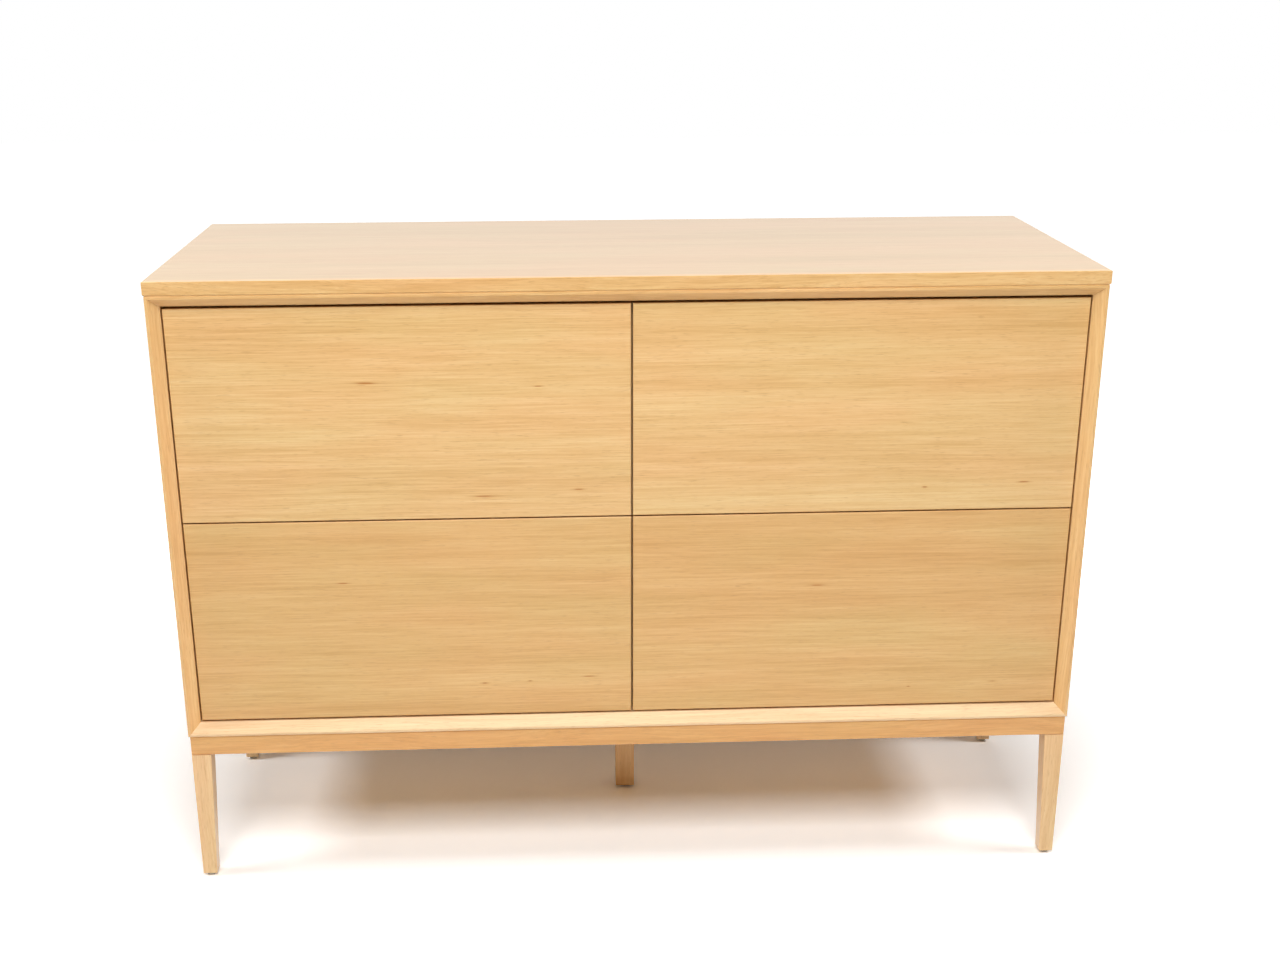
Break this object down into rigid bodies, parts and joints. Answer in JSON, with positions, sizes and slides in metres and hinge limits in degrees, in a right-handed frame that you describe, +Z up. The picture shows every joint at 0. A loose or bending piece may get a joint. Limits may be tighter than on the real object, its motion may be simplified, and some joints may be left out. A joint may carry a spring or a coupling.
{
  "type": "chest of drawers",
  "caption": "Wide low chest with flush handle-less oak drawers, a bevelled mitred case and a slim base frame on tapered square legs.",
  "frame": {"origin": "on the floor, under the middle of the chest", "axes": "+X to the right as seen by someone facing the drawers, +Y towards the back, +Z up"},
  "size_m": [1.2, 0.44, 0.836],
  "materials": {
    "oak_veneer": "natural oak veneer under a clear satin lacquer",
    "solid_oak": "planed solid oak under a clear satin lacquer",
    "carcass_board": "oak-faced board, clear matt lacquer",
    "back_board": "thin hardboard with an oak-coloured face, matt",
    "inner_beech": "planed beech, unlacquered",
    "drawer_birch": "birch plywood, clear matt lacquer",
    "drawer_bottom_ply": "thin birch plywood, clear matt lacquer",
    "runner_steel": "cold-rolled steel strip, bright zinc plating",
    "fixing_steel": "zinc-plated steel",
    "latch_plastic": "moulded grey plastic, fine matt grain",
    "plunger_plastic": "moulded off-white plastic, smooth",
    "glide_plastic": "moulded pale grey plastic, smooth"
  },
  "bodies": {
    "case": {"top_panel": "oak_veneer", "top_front_lipping": "solid_oak", "case_bottom_board": "oak_veneer", "case_right_side": "oak_veneer", "case_top_board": "oak_veneer", "case_left_side": "oak_veneer", "back_panel": "back_board", "centre_divider": "carcass_board", "top_screws": "fixing_steel", "base_front_rail": "solid_oak", "base_rear_rail": "solid_oak", "base_left_rail": "solid_oak", "base_right_rail": "solid_oak", "base_cross_rail": "inner_beech", "base_corner_blocks": "inner_beech", "base_screws": "fixing_steel", "front_left_leg": "solid_oak", "front_right_leg": "solid_oak", "rear_left_leg": "solid_oak", "rear_right_leg": "solid_oak", "centre_leg": "solid_oak", "leg_bolts": "fixing_steel", "floor_glides": "glide_plastic", "runner_case_members": "runner_steel", "touch_latch_bodies": "latch_plastic"},
    "upper_left_drawer": {"upper_left_drawer_front": "oak_veneer", "upper_left_drawer_left_side": "drawer_birch", "upper_left_drawer_right_side": "drawer_birch", "upper_left_drawer_back": "drawer_birch", "upper_left_drawer_bottom": "drawer_bottom_ply", "upper_left_runner_drawer_members": "runner_steel"},
    "upper_left_runner_mid": {"upper_left_runner_mid_members": "runner_steel"},
    "upper_left_plunger": {"upper_left_latch_plunger": "plunger_plastic"},
    "upper_right_drawer": {"upper_right_drawer_front": "oak_veneer", "upper_right_drawer_left_side": "drawer_birch", "upper_right_drawer_right_side": "drawer_birch", "upper_right_drawer_back": "drawer_birch", "upper_right_drawer_bottom": "drawer_bottom_ply", "upper_right_runner_drawer_members": "runner_steel"},
    "upper_right_runner_mid": {"upper_right_runner_mid_members": "runner_steel"},
    "upper_right_plunger": {"upper_right_latch_plunger": "plunger_plastic"},
    "lower_left_drawer": {"lower_left_drawer_front": "oak_veneer", "lower_left_drawer_left_side": "drawer_birch", "lower_left_drawer_right_side": "drawer_birch", "lower_left_drawer_back": "drawer_birch", "lower_left_drawer_bottom": "drawer_bottom_ply", "lower_left_runner_drawer_members": "runner_steel"},
    "lower_left_runner_mid": {"lower_left_runner_mid_members": "runner_steel"},
    "lower_left_plunger": {"lower_left_latch_plunger": "plunger_plastic"},
    "lower_right_drawer": {"lower_right_drawer_front": "oak_veneer", "lower_right_drawer_left_side": "drawer_birch", "lower_right_drawer_right_side": "drawer_birch", "lower_right_drawer_back": "drawer_birch", "lower_right_drawer_bottom": "drawer_bottom_ply", "lower_right_runner_drawer_members": "runner_steel"},
    "lower_right_runner_mid": {"lower_right_runner_mid_members": "runner_steel"},
    "lower_right_plunger": {"lower_right_latch_plunger": "plunger_plastic"}
  },
  "joints": [
    {"name": "upper_left_drawer_slide", "type": "slide", "parent": "case", "child": "upper_left_drawer", "axis": [0, -1, 0], "range_m": [0, 0.34]},
    {"name": "upper_left_runner_slide", "type": "slide", "parent": "case", "child": "upper_left_runner_mid", "axis": [0, -1, 0], "range_m": [0, 0.17]},
    {"name": "upper_left_plunger_press", "type": "slide", "parent": "case", "child": "upper_left_plunger", "axis": [0, -1, 0], "range_m": [-0.0025, 0], "stiffness_N_per_m": 1500, "springref_m": 0.003},
    {"name": "upper_right_drawer_slide", "type": "slide", "parent": "case", "child": "upper_right_drawer", "axis": [0, -1, 0], "range_m": [0, 0.34]},
    {"name": "upper_right_runner_slide", "type": "slide", "parent": "case", "child": "upper_right_runner_mid", "axis": [0, -1, 0], "range_m": [0, 0.17]},
    {"name": "upper_right_plunger_press", "type": "slide", "parent": "case", "child": "upper_right_plunger", "axis": [0, -1, 0], "range_m": [-0.0025, 0], "stiffness_N_per_m": 1500, "springref_m": 0.003},
    {"name": "lower_left_drawer_slide", "type": "slide", "parent": "case", "child": "lower_left_drawer", "axis": [0, -1, 0], "range_m": [0, 0.34]},
    {"name": "lower_left_runner_slide", "type": "slide", "parent": "case", "child": "lower_left_runner_mid", "axis": [0, -1, 0], "range_m": [0, 0.17]},
    {"name": "lower_left_plunger_press", "type": "slide", "parent": "case", "child": "lower_left_plunger", "axis": [0, -1, 0], "range_m": [-0.0025, 0], "stiffness_N_per_m": 1500, "springref_m": 0.003},
    {"name": "lower_right_drawer_slide", "type": "slide", "parent": "case", "child": "lower_right_drawer", "axis": [0, -1, 0], "range_m": [0, 0.34]},
    {"name": "lower_right_runner_slide", "type": "slide", "parent": "case", "child": "lower_right_runner_mid", "axis": [0, -1, 0], "range_m": [0, 0.17]},
    {"name": "lower_right_plunger_press", "type": "slide", "parent": "case", "child": "lower_right_plunger", "axis": [0, -1, 0], "range_m": [-0.0025, 0], "stiffness_N_per_m": 1500, "springref_m": 0.003}
  ],
  "couplings": [
    {"joint": "upper_left_runner_slide", "follows": "upper_left_drawer_slide", "ratio": 0.5},
    {"joint": "upper_right_runner_slide", "follows": "upper_right_drawer_slide", "ratio": 0.5},
    {"joint": "lower_left_runner_slide", "follows": "lower_left_drawer_slide", "ratio": 0.5},
    {"joint": "lower_right_runner_slide", "follows": "lower_right_drawer_slide", "ratio": 0.5}
  ]
}
